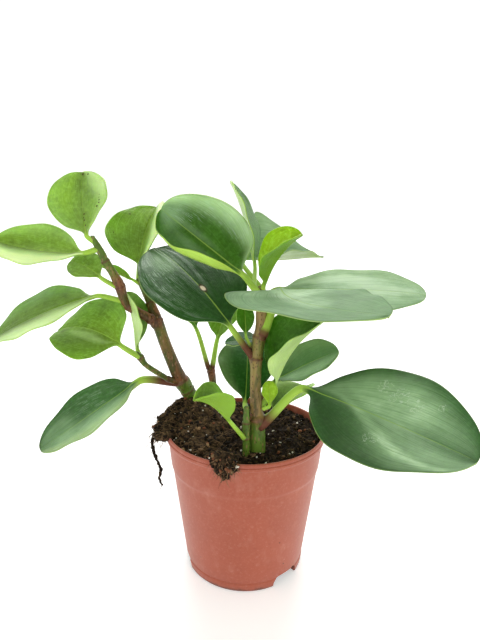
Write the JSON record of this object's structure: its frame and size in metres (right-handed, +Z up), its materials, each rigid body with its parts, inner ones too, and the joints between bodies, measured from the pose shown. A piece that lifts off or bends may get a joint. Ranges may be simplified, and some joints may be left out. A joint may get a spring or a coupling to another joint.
{
  "type": "potted peperomia",
  "caption": "Potted peperomia houseplant: fleshy rounded leaves on jointed stems, rooted in dark soil in a tapered round plastic nursery pot that stands on its flat base.",
  "frame": {"origin": "centre of the pot's flat base, on the surface that it stands on", "axes": "+Z up; -Y towards the side that the picture shows; +X to the right in the picture"},
  "size_m": [0.3079, 0.2065, 0.2959],
  "materials": {
    "pot": "dusty terracotta coloured plastic",
    "soil": "loose dark peat with white specks",
    "stem": "fleshy green and brown bark",
    "leaf_dark": "glossy dark green",
    "leaf_mid": "glossy mid green",
    "leaf_lime": "glossy young lime green"
  },
  "bodies": {
    "root": {"pot": "pot", "soil": "soil", "stem_left": "stem", "stem_right": "stem", "stem_thin": "stem", "stem_back": "stem", "leaf_left_1": "leaf_lime", "leaf_left_2": "leaf_lime", "leaf_left_3": "leaf_mid", "leaf_left_4": "leaf_lime", "leaf_left_5": "leaf_lime", "leaf_left_6": "leaf_mid", "leaf_left_7": "leaf_dark", "leaf_left_8": "leaf_lime", "leaf_left_9": "leaf_lime", "leaf_centre_1": "leaf_dark", "leaf_centre_2": "leaf_mid", "leaf_centre_3": "leaf_mid", "leaf_centre_4": "leaf_mid", "leaf_centre_5": "leaf_dark", "leaf_centre_6": "leaf_dark", "leaf_centre_7": "leaf_lime", "leaf_right_1": "leaf_dark", "leaf_right_2": "leaf_dark", "leaf_right_3": "leaf_dark", "leaf_right_4": "leaf_lime", "leaf_right_5": "leaf_dark", "leaf_right_6": "leaf_mid", "leaf_right_7": "leaf_dark", "leaf_right_8": "leaf_lime", "leaf_right_9": "leaf_lime", "leaf_back_1": "leaf_mid", "leaf_back_2": "leaf_mid"}
  },
  "joints": []
}
